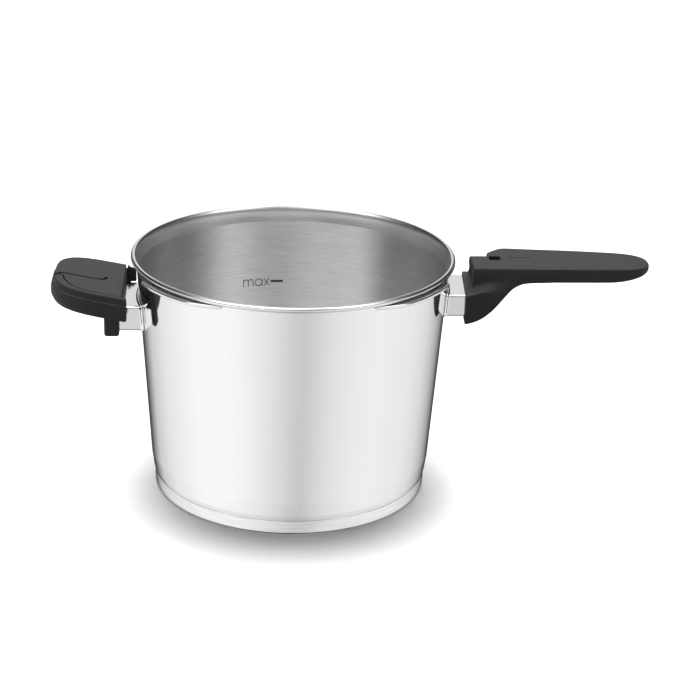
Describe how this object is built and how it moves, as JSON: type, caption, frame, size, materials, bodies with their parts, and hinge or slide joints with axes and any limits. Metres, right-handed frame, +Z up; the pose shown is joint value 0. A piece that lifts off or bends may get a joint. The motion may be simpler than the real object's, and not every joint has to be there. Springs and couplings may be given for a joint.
{
  "type": "pressure cooker pot",
  "caption": "Conical steel pressure cooker pot with capsule base, bayonet lugs under the rim, a long handle and a helper handle.",
  "frame": {"origin": "centre of the base's underside, on the pot's axis", "axes": "+X along the long handle, +Z up along the pot's axis, +Y to the side where the long handle's nose is cut back"},
  "size_m": [0.4526, 0.244, 0.1846],
  "materials": {
    "body_steel": "stainless steel, mirror polished outside, fine satin brushing inside",
    "base_steel": "stainless steel, satin turned",
    "core_aluminium": "plain, hidden inside the base",
    "lug_steel": "stainless steel, polished",
    "bracket_steel": "stainless steel, mirror polished",
    "fastener_steel": "zinc plated",
    "handle_plastic": "black phenolic moulding, fine matt texture",
    "panel_plastic": "black phenolic moulding, fine matt texture"
  },
  "bodies": {
    "root": {"pot_shell": "body_steel", "base_cap": "base_steel", "base_core": "core_aluminium", "bayonet_lug_front_left": "lug_steel", "bayonet_lug_front_right": "lug_steel", "bayonet_lug_back_left": "lug_steel", "bayonet_lug_back_right": "lug_steel", "long_handle_bracket": "bracket_steel", "long_handle_threaded_plate": "fastener_steel", "long_handle_grip": "handle_plastic", "long_handle_screw_front": "fastener_steel", "long_handle_screw_back": "fastener_steel", "long_handle_washer_front": "fastener_steel", "long_handle_washer_back": "fastener_steel", "helper_handle_bracket": "bracket_steel", "helper_handle_threaded_plate": "fastener_steel", "helper_handle_grip": "handle_plastic", "helper_handle_top_panel": "panel_plastic", "helper_handle_screw_front": "fastener_steel", "helper_handle_screw_back": "fastener_steel", "helper_handle_washer_front": "fastener_steel", "helper_handle_washer_back": "fastener_steel"}
  },
  "joints": []
}
